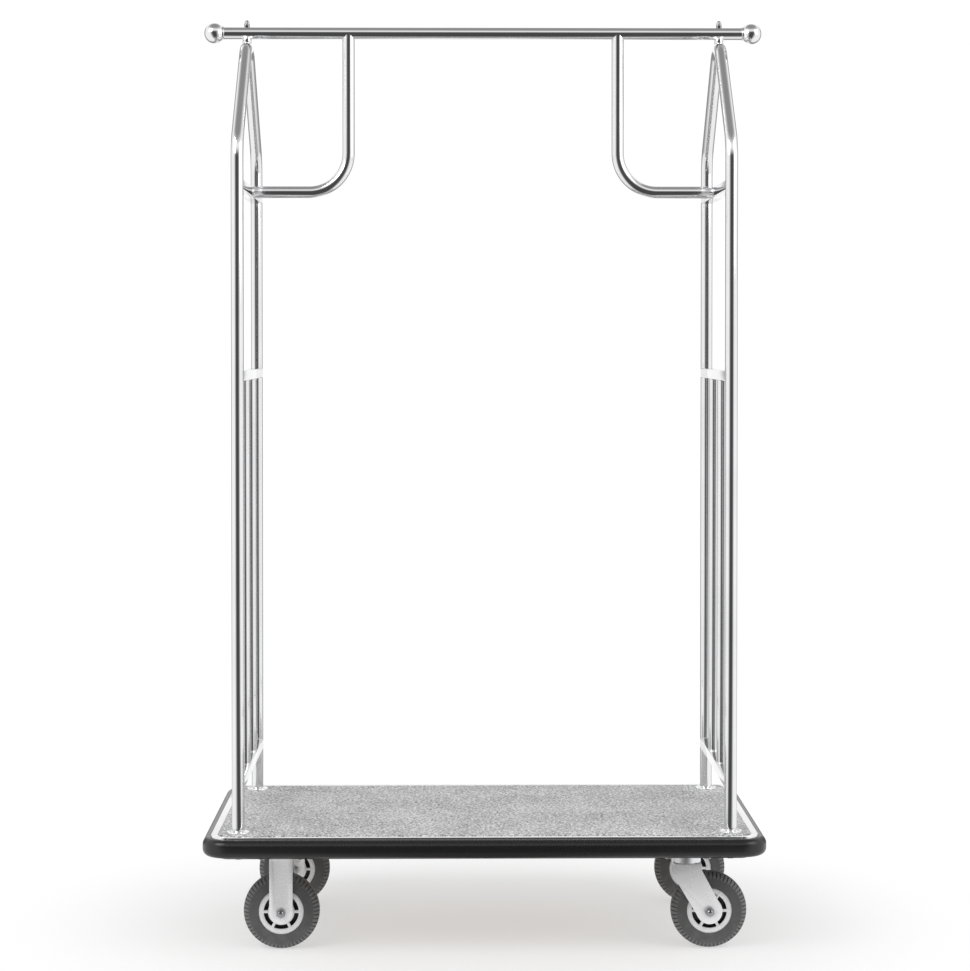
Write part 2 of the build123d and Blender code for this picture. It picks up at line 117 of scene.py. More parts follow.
# Wheel centres, axles and forks
WHEEL_Y = 200 * MM
HUB_FACE_DEPTH = 15.2 * MM
CORE_WALL = 8 * MM
BARREL_WALL = 4 * MM
WEB_WALL = 3 * MM
WEB_BITE = 0.5 * MM
WEB_SIDES = 96
AXLE_R = 5 * MM
THREAD_ROOT = 4.3 * MM
THREAD_PITCH = 1.5 * MM
HEAD_SHARE = 0.75
NUT_FLATS = 17 * MM
FORK_SHEET = 3 * MM

# Finishes
CARPET_FLECKS = [(0.43, 0.05), (0.48, 0.36), (0.53, 0.60), (0.58, 0.92)]  # place on the ramp, lightness
FINE_LINES, LONG_LINES = 700.0, 9.0
# painted light: where the paler tread gives way to the darker sidewalls
TREAD_EDGE = (20.6 * MM, 21.6 * MM)
MIX_FACTOR, MIX_FIRST, MIX_SECOND, MIX_RESULT = 0, 6, 7, 2  # the colour sockets of a mix node
# painted shade: near-black for the insides of the wheel centres, seen through their slots
SHADE_BLACK = (0.008, 0.008, 0.008)

# Studio: the flags' edges are angles away from the camera's side
WHITE_LEVEL = 1.02
BLACK_FLAG, DIM_FLAG = 0.95, 0.72
FRONT_FLAG_EDGE = (math.radians(16), math.radians(56))
BACK_FLAG_EDGE = (math.radians(112), math.radians(140))
BACK_GAP_EDGE = (math.radians(160), math.radians(168))
FLOOR_RADIUS = 60
FLOOR_FADE = (0.45, 1.2)
CAMERA_PLACE = (-0.0601, -5.1262, 1.1873)
CAMERA_TIP = 0.02
CAMERA_TURN = -0.01243
SENSOR_WIDTH, LENS, LENS_SHIFT = 36.0, 92.88, -0.0920
FAR_CLIP = 200
SOFTBOXES = [  # name, place, aim, size, watts
    ("key", (-2.6, -2.2, 3.4), (0, 0, 0.9), (2.2, 2.2), 60),
    ("fill", (2.8, -1.6, 2.6), (0, 0, 0.8), (2.0, 2.4), 30),
]


# -------- modelling helpers
def clear_selection():
    """Go back to object mode and let go of everything."""
    if bpy.context.object and bpy.context.object.mode != "OBJECT":
        bpy.ops.object.mode_set(mode="OBJECT")
    bpy.ops.object.select_all(action="DESELECT")


def take(piece):
    """Make one piece the only selected and active object."""
    clear_selection()
    piece.select_set(True)
    bpy.context.view_layer.objects.active = piece


def corners(node):
    """The lowest and highest corners of a CAD node at rest."""
    return [Vector(corner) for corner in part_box(node)]


def rename(piece, name):
    """Name a piece and its mesh."""
    piece.name = name
    piece.data.name = name
    return piece


def named(name):
    """Name the new primitive and put its place into its mesh."""
    piece = rename(bpy.context.object, name)
    bpy.ops.object.transform_apply(location=True, rotation=True, scale=True)
    return piece


def edit(piece, mode="VERT"):
    """Enter edit mode with nothing selected."""
    take(piece)
    bpy.ops.object.mode_set(mode="EDIT")
    bpy.ops.mesh.select_mode(type=mode)
    bpy.ops.mesh.select_all(action="DESELECT")


def edit_all(piece):
    """Enter edit mode with everything selected."""
    edit(piece)
    bpy.ops.mesh.select_all(action="SELECT")


def pick_verts(piece, test):
    """Select the vertices that pass a test of their place."""
    edit(piece)
    bpy.ops.object.mode_set(mode="OBJECT")
    for vertex in piece.data.vertices:
        vertex.select = bool(test(vertex.co))
    bpy.ops.object.mode_set(mode="EDIT")


def pick_faces(piece, test):
    """Select the faces that pass a test of their centre and normal."""
    edit(piece, "FACE")
    bpy.ops.object.mode_set(mode="OBJECT")
    for face in piece.data.polygons:
        face.select = bool(test(face.center, face.normal))
    bpy.ops.object.mode_set(mode="EDIT")


def tidy(piece, smooth_degrees=35.0):
    """Merge doubles, turn the faces outwards and smooth the gentle edges."""
    edit_all(piece)
    bpy.ops.mesh.remove_doubles(threshold=MERGE_DISTANCE)
    bpy.ops.mesh.normals_make_consistent(inside=False)
    bpy.ops.object.mode_set(mode="OBJECT")
    take(piece)
    bpy.ops.object.shade_smooth_by_angle(angle=math.radians(smooth_degrees))
    return piece


def soften(piece, width, segments=3, limit_degrees=35.0):
    """Round the sharp edges with an applied bevel."""
    take(piece)
    bevel = piece.modifiers.new("soft edges", "BEVEL")
    bevel.width = width
    bevel.segments = segments
    bevel.limit_method = "ANGLE"
    bevel.angle_limit = math.radians(limit_degrees)
    bevel.harden_normals = False
    bpy.ops.object.modifier_apply(modifier=bevel.name)
    return tidy(piece)


def combine(piece, other, operation):
    """Apply a boolean with another piece and delete that one."""
    take(piece)
    cut = piece.modifiers.new("cut", "BOOLEAN")
    cut.operation = operation
    cut.solver = "EXACT"
    cut.object = other
    bpy.ops.object.modifier_apply(modifier=cut.name)
    bpy.data.objects.remove(other, do_unlink=True)
    return piece


def join(name, pieces):
    """Join pieces into one object."""
    clear_selection()
    for piece in pieces:
        piece.select_set(True)
    bpy.context.view_layer.objects.active = pieces[0]
    bpy.ops.object.join()
    return rename(pieces[0], name)


def copy_of(piece, move):
    """A copy with its own mesh, moved inside that mesh."""
    twin = piece.copy()
    twin.data = piece.data.copy()
    bpy.context.collection.objects.link(twin)
    twin.data.transform(Matrix.Translation(move))
    return twin


def copy_of_node(node, name):
    """A CAD node's shape as a new piece, without its split normals."""
    piece = bpy.data.objects.new(name, frame["nodes"][node].data.copy())
    bpy.context.collection.objects.link(piece)
    take(rename(piece, name))
    if piece.data.has_custom_normals:
        bpy.ops.mesh.customdata_custom_splitnormals_clear()
    return piece


def from_node(node, name, width, segments=2):
    """A CAD node's own shape with its edges softened."""
    piece = copy_of_node(node, name)
    edit_all(piece)
    bpy.ops.mesh.remove_doubles(threshold=MERGE_DISTANCE)
    bpy.ops.mesh.dissolve_limited(angle_limit=math.radians(1.0))
    bpy.ops.object.mode_set(mode="OBJECT")
    return soften(piece, width, segments, 40.0)


def place_piece(piece, body, slot, material, *nodes):
    """Ride on a body, take a finish and stand for CAD nodes."""
    piece.data.materials.clear()
    piece.data.materials.append(material)
    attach(piece, body)
    if nodes:
        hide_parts(*nodes)
    return piece


def ring(name, centre, axis, radius, sides):
    """Start a round shape: an open circle square to an axis, in edit mode with its edges selected."""
    clear_selection()
    turn = Vector(axis).to_track_quat("Z", "Y").to_euler()
    bpy.ops.mesh.primitive_circle_add(vertices=sides, radius=radius, location=centre, rotation=turn)
    piece = named(name)
    bpy.ops.object.mode_set(mode="EDIT")
    bpy.ops.mesh.select_mode(type="VERT")
    bpy.ops.mesh.select_all(action="SELECT")
    return piece


def draw_out(step):
    """Extrude the selection by a vector."""
    bpy.ops.mesh.extrude_region_move(TRANSFORM_OT_translate={"value": tuple(step)})


def turned(name, centre, axis, outline, sides=64, smooth_degrees=35.0):
    """A turned shape: circles of (radius, height) drawn out one after another, then capped."""
    axis = Vector(axis).normalized()
    centre = Vector(centre)
    radius, height = outline[0]
    piece = ring(name, centre + axis * height, axis, radius, sides)
    for next_radius, next_height in outline[1:]:
        draw_out(axis * (next_height - height))
        grow = next_radius / radius
        bpy.ops.transform.resize(value=(grow, grow, grow), center_override=centre + axis * next_height)
        radius, height = next_radius, next_height
    close_ends()
    return tidy(piece, smooth_degrees)


def close_ends():
    """Cap the open loops of a shape in edit mode."""
    bpy.ops.mesh.select_all(action="SELECT")
    bpy.ops.mesh.fill_holes(sides=0)
    bpy.ops.object.mode_set(mode="OBJECT")


def bent_tube(name, points, bends, radius, sides=TUBE_SIDES):
    """A round tube: runs drawn out between tangent points, and bends spun round their centres."""
    points = [Vector(point) for point in points]
    heading = (points[1] - points[0]).normalized()
    piece = ring(name, points[0], heading, radius, sides)
    here = points[0]
    for corner, after, bend in zip(points[1:-1], points[2:], bends):
        leaving = (after - corner).normalized()
        angle = heading.angle(leaving)
        setback = bend * math.tan(angle / 2)
        start = corner - heading * setback
        draw_out(start - here)
        normal = heading.cross(leaving).normalized()
        centre = start + normal.cross(heading) * bend
        steps = max(4, math.ceil(angle / BEND_STEP))
        bpy.ops.mesh.spin(steps=steps, angle=SPIN_SIGN * angle, center=centre, axis=normal)
        here = corner + leaving * setback
        heading = leaving
    draw_out(points[-1] - here)
    close_ends()
    return tidy(piece)


def rounded_bar(name, low, high, round_r, segments=4):
    """A box between two corners with rounded edges."""
    clear_selection()
    low, high = Vector(low), Vector(high)
    bpy.ops.mesh.primitive_cube_add(size=1, location=(low + high) / 2, scale=high - low)
    return soften(named(name), round_r, segments)


# -------- materials
def node(tree, kind, **settings):
    """Add a shader node and set its properties and inputs by name."""
    made = tree.nodes.new(kind)
    for key, value in settings.items():
        if key in made.inputs.keys():
            made.inputs[key].default_value = value
        else:
            setattr(made, key, value)
    return made


def math_node(tree, operation, first, second=None, third=None):
    """One step of arithmetic on numbers and other nodes' outputs."""
    made = node(tree, "ShaderNodeMath", operation=operation)
    for index, source in enumerate((first, second, third)):
        if source is None:
            continue
        if isinstance(source, (int, float)):
            made.inputs[index].default_value = source
        else:
            tree.links.new(source, made.inputs[index])
    return made.outputs[0]


def ramp(tree, source, low, high, to_low, to_high):
    """Map one range smoothly to another."""
    made = node(tree, "ShaderNodeMapRange", interpolation_type="SMOOTHSTEP")
    tree.links.new(source, made.inputs["Value"])
    for key, value in (("From Min", low), ("From Max", high), ("To Min", to_low), ("To Max", to_high)):
        made.inputs[key].default_value = value
    return made.outputs["Result"]


def noise(tree, vector, scale, detail=2.0, roughness=0.5):
    """Cloudy noise over a place."""
    made = node(tree, "ShaderNodeTexNoise", Scale=scale, Detail=detail, Roughness=roughness)
    tree.links.new(vector, made.inputs["Vector"])
    return made.outputs["Fac"]


def stretched(tree, vector, scale):
    """A place scaled by its own amount along each axis."""
    made = node(tree, "ShaderNodeMapping", Scale=scale)
    tree.links.new(vector, made.inputs["Vector"])
    return made.outputs["Vector"]


def new_group(name, inputs, outputs):
    """A shader node group with its inner ends ready."""
    group = bpy.data.node_groups.new(name, "ShaderNodeTree")
    for label, kind, value in inputs:
        socket = group.interface.new_socket(name=label, in_out="INPUT", socket_type=kind)
        if value is not None:
            socket.default_value = value
    for label, kind in outputs:
        group.interface.new_socket(name=label, in_out="OUTPUT", socket_type=kind)
    return group, group.nodes.new("NodeGroupInput"), group.nodes.new("NodeGroupOutput")


def polish_group():
    """Polishing lines, faint smears and hairline scratches of buffed steel."""
    inputs = [
        ("Place", "NodeSocketVector", None),
        ("Line Scale", "NodeSocketVector", (700.0, 700.0, 9.0)),
        ("Low Roughness", "NodeSocketFloat", 0.06),
        ("High Roughness", "NodeSocketFloat", 0.16),
    ]
    outputs = [("Roughness", "NodeSocketFloat"), ("Height", "NodeSocketFloat")]
    group, start, end = new_group("buffed steel", inputs, outputs)
    stretch = group.nodes.new("ShaderNodeVectorMath")
    stretch.operation = "MULTIPLY"
    group.links.new(start.outputs["Place"], stretch.inputs[0])
    group.links.new(start.outputs["Line Scale"], stretch.inputs[1])
    lines = noise(group, stretch.outputs[0], 1.0, 3.0, 0.6)
    smears = noise(group, start.outputs["Place"], 14.0, 4.0, 0.6)
    scratches = ramp(group, noise(group, stretch.outputs[0], 0.35, 1.0), 0.60, 0.72, 0.0, 1.0)
    mixed = math_node(group, "MULTIPLY_ADD", smears, 0.6, math_node(group, "MULTIPLY", lines, 0.4))
    mixed = math_node(group, "MULTIPLY_ADD", scratches, 0.08, mixed)
    spread = node(group, "ShaderNodeMapRange")
    group.links.new(mixed, spread.inputs["Value"])
    spread.inputs["From Min"].default_value = 0.3
    spread.inputs["From Max"].default_value = 0.75
    group.links.new(start.outputs["Low Roughness"], spread.inputs["To Min"])
    group.links.new(start.outputs["High Roughness"], spread.inputs["To Max"])
    group.links.new(spread.outputs["Result"], end.inputs["Roughness"])
    group.links.new(lines, end.inputs["Height"])
    return group


def dust_group():
    """Patchy dust: a mask that grows towards the floor."""
    inputs = [
        ("Place", "NodeSocketVector", None),
        ("Amount", "NodeSocketFloat", 0.3),
        ("Reach", "NodeSocketFloat", 0.25),
    ]
    group, start, end = new_group("floor dust", inputs, [("Mask", "NodeSocketFloat")])
    parts = group.nodes.new("ShaderNodeSeparateXYZ")
    group.links.new(start.outputs["Place"], parts.inputs[0])
    share = math_node(group, "DIVIDE", parts.outputs["Z"], start.outputs["Reach"])
    low = math_node(group, "SUBTRACT", 1.0, share)
    low = math_node(group, "MAXIMUM", low, 0.0)
    patches = ramp(group, noise(group, start.outputs["Place"], 60.0, 5.0, 0.65), 0.35, 0.75, 0.2, 1.0)
    mask = math_node(group, "MULTIPLY", math_node(group, "MULTIPLY", low, patches), start.outputs["Amount"])
    group.links.new(mask, end.inputs["Mask"])
    return group


def start_material(name, **values):
    """A new material with its Principled shader, given its plain values, and object coordinates."""
    material = bpy.data.materials.new(name)
    material.use_nodes = True
    tree = material.node_tree
    shader = tree.nodes["Principled BSDF"]
    for key, value in values.items():
        shader.inputs[key.replace("_", " ")].default_value = value
    place = tree.nodes.new("ShaderNodeTexCoord").outputs["Object"]
    return material, tree, shader, place


def placed(tree, group, **settings):
    """A node group set into a tree with its own values."""
    made = tree.nodes.new("ShaderNodeGroup")
    made.node_tree = group
    for key, value in settings.items():
        made.inputs[key.replace("_", " ")].default_value = value
    return made


def bump(tree, shader, height, strength, distance):
    """Raise the surface by a height."""
    made = node(tree, "ShaderNodeBump", Strength=strength, Distance=distance)
    tree.links.new(height, made.inputs["Height"])
    tree.links.new(made.outputs["Normal"], shader.inputs["Normal"])


def colour_between(tree, mask, first, second):
    """Mix two colours, each a plain colour or another node's output."""
    made = node(tree, "ShaderNodeMix", data_type="RGBA")
    tree.links.new(mask, made.inputs[MIX_FACTOR])
    for index, colour in ((MIX_FIRST, first), (MIX_SECOND, second)):
        if isinstance(colour, tuple):
            made.inputs[index].default_value = (*colour, 1.0)
        else:
            tree.links.new(colour, made.inputs[index])
    return made.outputs[MIX_RESULT]


def steel(name, groups, colour, line_scale, low, high, height=0.04, metallic=1.0):
    """Buffed metal, its polishing lines drawn out along the axis with the smallest line scale."""
    material, tree, shader, place = start_material(name, Metallic=metallic)
    made = placed(tree, groups["polish"], Line_Scale=line_scale, Low_Roughness=low, High_Roughness=high)
    tree.links.new(place, made.inputs["Place"])
    tree.links.new(made.outputs["Roughness"], shader.inputs["Roughness"])
    bump(tree, shader, made.outputs["Height"], height, 0.02 * MM)
    smears = ramp(tree, noise(tree, place, 9.0, 3.0), 0.3, 0.7, 0.0, 1.0)
    warm = tuple(0.95 * part for part in colour)
    tree.links.new(colour_between(tree, smears, colour, warm), shader.inputs["Base Color"])
    return material


def carpet_material():
    """Heather pile: short light and dark flecks lying mostly along the deck."""
    sheen = {"Sheen_Weight": 0.25, "Sheen_Roughness": 0.6}
    material, tree, shader, place = start_material("heather carpet", Roughness=0.95, **sheen)
    flecks = noise(tree, stretched(tree, place, (190.0, 400.0, 400.0)), 1.0, 2.0, 0.7)
    fine = noise(tree, stretched(tree, place, (600.0, 1100.0, 1100.0)), 1.0, 1.0, 0.5)
    worn = noise(tree, place, 11.0, 3.0, 0.5)
    mixed = math_node(tree, "MULTIPLY_ADD", flecks, 0.7, math_node(tree, "MULTIPLY", fine, 0.3))
    mixed = math_node(tree, "MULTIPLY_ADD", math_node(tree, "SUBTRACT", worn, 0.5), 0.08, mixed)
    colours = node(tree, "ShaderNodeValToRGB")
    tree.links.new(mixed, colours.inputs["Fac"])
    ends = colours.color_ramp.elements
    ends[0].position, ends[1].position = CARPET_FLECKS[0][0], CARPET_FLECKS[-1][0]
    ends[0].color = (*[CARPET_FLECKS[0][1]] * 3, 1.0)
    ends[1].color = (*[CARPET_FLECKS[-1][1]] * 3, 1.0)
    for position, lightness in CARPET_FLECKS[1:-1]:
        ends.new(position).color = (lightness, lightness, lightness, 1.0)
    tree.links.new(colours.outputs["Color"], shader.inputs["Base Color"])
    bump(tree, shader, mixed, 0.6, 0.8 * MM)
    return material


def bumper_material(groups):
    """Black rubber with a fine moulded grain, dulled by dust near the floor."""
    material, tree, shader, place = start_material("black bumper rubber", Specular_IOR_Level=0.45)
    dust = placed(tree, groups["dust"], Amount=0.1, Reach=0.5)
    tree.links.new(place, dust.inputs["Place"])
    tone = colour_between(tree, dust.outputs["Mask"], (0.012,) * 3, (0.05,) * 3)
    tree.links.new(tone, shader.inputs["Base Color"])
    grain = noise(tree, place, 800.0, 2.0, 0.6)
    tree.links.new(ramp(tree, grain, 0.3, 0.7, 0.19, 0.33), shader.inputs["Roughness"])
    bump(tree, shader, grain, 0.25, 0.05 * MM)
    return material


def wheel_offset(tree, place):
    """Distance from the mid-plane of the nearer row of wheels."""
    parts = tree.nodes.new("ShaderNodeSeparateXYZ")
    tree.links.new(place, parts.inputs[0])
    across = math_node(tree, "ABSOLUTE", parts.outputs["Y"])
    return math_node(tree, "ABSOLUTE", math_node(tree, "SUBTRACT", across, WHEEL_Y))


def tyre_material(groups):
    """Grey non-marking rubber: smooth dark sidewalls and a paler tread, partly scuff wear and partly painted
    light.
    """
    material, tree, shader, place = start_material("grey tyre rubber", Specular_IOR_Level=0.45)
    # painted light: the whole tread is made paler than the sidewalls, as where light falls on it; the scuff
    # noise over it is wear
    tread = ramp(tree, wheel_offset(tree, place), *TREAD_EDGE, 1.0, 0.0)
    scuffs = ramp(tree, noise(tree, place, 230.0, 4.0, 0.65), 0.35, 0.65, 0.45, 1.0)
    worn = colour_between(tree, math_node(tree, "MULTIPLY", tread, scuffs), (0.075,) * 3, (0.16,) * 3)
    dust = placed(tree, groups["dust"], Amount=0.35, Reach=0.17)
    tree.links.new(place, dust.inputs["Place"])
    tone = colour_between(tree, dust.outputs["Mask"], worn, (0.22,) * 3)
    tree.links.new(tone, shader.inputs["Base Color"])
    grain = noise(tree, place, 500.0, 2.0, 0.6)
    tree.links.new(ramp(tree, grain, 0.3, 0.7, 0.46, 0.60), shader.inputs["Roughness"])
    bump(tree, shader, grain, 0.25, 0.05 * MM)
    return material


def hub_material(groups):
    """Silver-grey face discs over a wheel body painted near-black as shade, with faint flow marks."""
    material, tree, shader, place = start_material("silver hub with painted shade inside")
    dust = placed(tree, groups["dust"], Amount=0.2, Reach=0.2)
    tree.links.new(place, dust.inputs["Place"])
    face = colour_between(tree, dust.outputs["Mask"], (0.90, 0.90, 0.91), (0.5, 0.49, 0.47))
    # painted shade: everything deeper in than the face discs is near-black, standing in for the shade inside
    # the wheel
    inside = math_node(tree, "LESS_THAN", wheel_offset(tree, place), HUB_FACE_DEPTH)
    tree.links.new(colour_between(tree, inside, face, SHADE_BLACK), shader.inputs["Base Color"])
    silvered = math_node(tree, "MULTIPLY", math_node(tree, "SUBTRACT", 1.0, inside), 0.25)
    tree.links.new(silvered, shader.inputs["Metallic"])
    marks = noise(tree, place, 120.0, 4.0, 0.6)
    tree.links.new(ramp(tree, marks, 0.3, 0.7, 0.27, 0.40), shader.inputs["Roughness"])
    bump(tree, shader, marks, 0.15, 0.06 * MM)
    return material


def plywood_material():
    """Birch plywood: long grain on the faces and thin plies at the edges."""
    material, tree, shader, place = start_material("birch plywood", Roughness=0.7)
    grain = noise(tree, stretched(tree, place, (6.0, 90.0, 400.0)), 1.0, 4.0, 0.6)
    light = ramp(tree, grain, 0.3, 0.7, 0.0, 1.0)
    tone = colour_between(tree, light, (0.42, 0.27, 0.14), (0.62, 0.45, 0.27))
    tree.links.new(tone, shader.inputs["Base Color"])
    bump(tree, shader, grain, 0.3, 0.1 * MM)
    return material


def powder_material():
    """Black powder coat with its fine orange peel."""
    material, tree, shader, place = start_material("black powder coat")
    peel = noise(tree, place, 900.0, 2.0, 0.5)
    clouds = ramp(tree, noise(tree, place, 25.0, 4.0), 0.3, 0.7, 0.0, 1.0)
    tone = colour_between(tree, clouds, (0.018,) * 3, (0.03,) * 3)
    tree.links.new(tone, shader.inputs["Base Color"])
    tree.links.new(ramp(tree, peel, 0.3, 0.7, 0.36, 0.5), shader.inputs["Roughness"])
    bump(tree, shader, peel, 0.3, 0.05 * MM)
    return material


def make_finishes():
    """Every finish of the cart by name."""
    groups = {"polish": polish_group(), "dust": dust_group()}
    bright, zinc = (0.86, 0.86, 0.87), (0.80, 0.81, 0.82)
    dull, white = (0.40, 0.40, 0.41), (0.96, 0.96, 0.97)
    along = (LONG_LINES, FINE_LINES, FINE_LINES)
    across = (FINE_LINES, LONG_LINES, FINE_LINES)
    upright = (FINE_LINES, FINE_LINES, LONG_LINES)
    return {
        "steel_x": steel("polished steel, lines along the deck", groups, bright, along, 0.05, 0.13),
        "steel_y": steel("polished steel, lines across the deck", groups, bright, across, 0.05, 0.13),
        "steel_z": steel("polished steel, upright lines", groups, bright, upright, 0.05, 0.13),
        "steel_round": steel("polished steel, turned", groups, bright, (60.0,) * 3, 0.04, 0.10),
        "zinc": steel("bright zinc plate", groups, zinc, (90.0, 90.0, 40.0), 0.20, 0.36, 0.15),
        "bolt": steel("darker plated bolts", groups, dull, (160.0,) * 3, 0.18, 0.30, 0.08),
        "fork": steel("pressed fork plate", groups, white, (900.0,) * 3, 0.24, 0.31, 0.02, metallic=0.2),
        "bearing": steel("ground bearing steel", groups, (0.6, 0.6, 0.61), (500.0, 9.0, 500.0), 0.2, 0.35),
        "carpet": carpet_material(),
        "bumper": bumper_material(groups),
        "tyre": tyre_material(groups),
        "hub": hub_material(groups),
        "plywood": plywood_material(),
        "frame": powder_material(),
    }


# -------- deck
def build_carpet(finish):
    """Carpet cut from a dense mat whose pile stands up unevenly and rolls over at its edge."""
    low, high = corners("carpet")
    size = high - low
    foot = (0, 0, low.z)
    clear_selection()
    columns = round(MAT_ROWS * size.x / size.y)
    bpy.ops.mesh.primitive_grid_add(x_subdivisions=columns, y_subdivisions=MAT_ROWS, size=1, location=foot)
    mat = named("heather_carpet")
    edit_all(mat)
    bpy.ops.transform.resize(value=(size.x + MAT_MARGIN, size.y + MAT_MARGIN, 1), center_override=foot)
    draw_out(Z_AXIS * size.z)
    tidy(mat, 60)
    middle = (low.z + high.z) / 2
    pick_verts(mat, lambda co: co.z > middle)
    bpy.ops.transform.vertex_random(offset=PILE_RISE, normal=1.0, seed=PILE_SEED)
    for rim in PILE_ROLL:
        half_x, half_y = size.x / 2 - rim, size.y / 2 - rim
        pick_verts(mat, lambda co: co.z > middle and (abs(co.x) > half_x or abs(co.y) > half_y))
        bpy.ops.transform.translate(value=(0, 0, -PILE_DROP))
    combine(mat, cutter_of("carpet", middle), "INTERSECT")
    tidy(mat, 60)
    place_piece(mat, "frame", "carpet", finish["carpet"], "carpet")


def cutter_of(name, middle):
    """The outline of a flat CAD node as a tall prism, for cutting."""
    prism = copy_of_node(name, "cutter")
    edit_all(prism)
    bpy.ops.transform.resize(value=(1, 1, CUTTER_STRETCH), center_override=(0, 0, middle))
    bpy.ops.mesh.remove_doubles(threshold=MERGE_DISTANCE)
    bpy.ops.object.mode_set(mode="OBJECT")
    return prism


def build_bumper(finish):
    """Rubber section with rounded outer edges, led once round the deck."""
    low, high = corners("bumper")
    _, trim_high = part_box("edge_trims")
    depth = high.x - trim_high[0]
    tall = high.z - low.z
    middle = Vector((0, -trim_high[1] - depth / 2, (low.z + high.z) / 2))
    clear_selection()
    bpy.ops.mesh.primitive_plane_add(size=1, location=middle, rotation=(math.pi / 2, 0, math.pi / 2))
    strip = named("bumper_strip")
    edit_all(strip)
    bpy.ops.transform.resize(value=(1, depth, tall), center_override=middle)
    pick_verts(strip, lambda co: co.y < middle.y)
    bpy.ops.mesh.bevel(offset=BUMPER_ROUNDING, segments=10, affect="VERTICES")
    pick_verts(strip, lambda co: co.y > middle.y)
    bpy.ops.mesh.bevel(offset=BUMPER_BACK_ROUNDING, segments=2, affect="VERTICES")
    bpy.ops.mesh.select_all(action="SELECT")
    bpy.ops.mesh.delete(type="ONLY_FACE")
    bpy.ops.mesh.select_all(action="SELECT")
    half_x, half_y = trim_high[0] - TRIM_CORNER, trim_high[1] - TRIM_CORNER
    runs = [
        (X_AXIS * half_x, (1, -1)),
        (Y_AXIS * 2 * half_y, (1, 1)),
        (X_AXIS * -2 * half_x, (-1, 1)),
        (Y_AXIS * -2 * half_y, (-1, -1)),
    ]
    for run, (way_x, way_y) in runs:
        draw_out(run)
        corner = (way_x * half_x, way_y * half_y, middle.z)
        bpy.ops.mesh.spin(steps=EDGE_SEGMENTS, angle=SPIN_SIGN * math.pi / 2, center=corner, axis=(0, 0, 1))
    draw_out(X_AXIS * half_x)
    tidy(strip, 50)
    place_piece(strip, "frame", "bumper_rubber", finish["bumper"], "bumper")


def build_trims(finish):
    """Straight trims and corner caps with rolled edges."""
    trims = from_node("edge_trims", "edge_trim_rolled", TRIM_ROLL, 3)
    place_piece(trims, "frame", "polished_steel", finish["steel_x"], "edge_trims")
    caps = from_node("trim_corners", "corner_caps_rolled", TRIM_ROLL, 3)
    place_piece(caps, "frame", "polished_steel", finish["steel_round"], "trim_corners")


# -------- end frames
def tube_of(node_name):
    """Where a hoop stands, from its box: its x, the tube's radius, the y of a post and the foot's z."""
    low, high = corners(node_name)
    radius = (high.x - low.x) / 2
    return (low.x + high.x) / 2, radius, high.y - radius, low.z


def build_hoop(side, finish):
    """Two posts and the gable over them, bent from one tube."""
    x, radius, post_y, foot = tube_of(f"end_hoop_{side}")
    points = [
        (x, -post_y, foot),
        (x, -post_y, SHOULDER_Z),
        (x, 0, GABLE_PEAK_Z),
        (x, post_y, SHOULDER_Z),
        (x, post_y, foot),
    ]
    hoop = bent_tube(f"hoop_tube_{side}", points, [SHOULDER_BEND, PEAK_BEND, SHOULDER_BEND], radius)
    place_piece(hoop, "frame", "polished_steel", finish["steel_z"], f"end_hoop_{side}")


def weld_bead(name, centre, axis, radius, finish):
    """A small ground-down weld bead round a joint of the frame."""
    outline = [(radius - BEAD_BITE, -BEAD_HALF)]
    for number in range(BEAD_ROWS + 1):
        turn = math.pi * number / BEAD_ROWS
        bulge = radius + BEAD_EDGE + BEAD_RISE * math.sin(turn)
        outline.append((bulge, (BEAD_EDGE - BEAD_HALF) * math.cos(turn)))
    outline.append((radius - BEAD_BITE, BEAD_HALF))
    bead = turned(name, centre, axis, outline, 40, 60)
    place_piece(bead, "frame", "polished_steel", finish["steel_round"])


def build_cross_rails(side, finish):
    """Rectangular bars with rounded edges, let into the posts."""
    _, _, post_y, _ = tube_of(f"end_hoop_{side}")
    for level in ("shoulder", "upper", "lower"):
        node_name = f"{level}_rail_{side}"
        low, high = corners(node_name)
        low.y, high.y = -post_y, post_y
        bar = rounded_bar(f"{level}_cross_rail_{side}", low, high, CROSS_RAIL_ROUNDING)
        place_piece(bar, "frame", "polished_steel", finish["steel_y"], node_name)


def build_spindles(side, finish):
    """Round uprights with a weld bead at each end."""
    low, high = corners(f"spindles_{side}")
    radius = (high.x - low.x) / 2
    x = (low.x + high.x) / 2
    bars = []
    for number, y in enumerate((low.y + radius, high.y - radius)):
        bar = ring(f"spindle_{side}_{number}", (x, y, low.z), Z_AXIS, radius, TUBE_SIDES)
        draw_out(Z_AXIS * (high.z - low.z))
        close_ends()
        bars.append(tidy(bar))
        for place, z in (("low", low.z + BEAD_BACK), ("high", high.z - BEAD_BACK)):
            weld_bead(f"spindle_bead_{side}_{number}_{place}", (x, y, z), Z_AXIS, radius, finish)
    spindles = join(f"spindle_bars_{side}", bars)
    place_piece(spindles, "frame", "polished_steel", finish["steel_z"], f"spindles_{side}")


# -------- hanging rail
def build_hanging_rail(finish):
    """The round tube along the top."""
    low, high = corners("hanging_rail")
    radius = (high.z - low.z) / 2
    z = (low.z + high.z) / 2
    rail = ring("garment_rail", (low.x, 0, z), X_AXIS, radius, TUBE_SIDES)
    draw_out(X_AXIS * (high.x - low.x))
    close_ends()
    place_piece(tidy(rail), "frame", "polished_steel", finish["steel_x"], "hanging_rail")


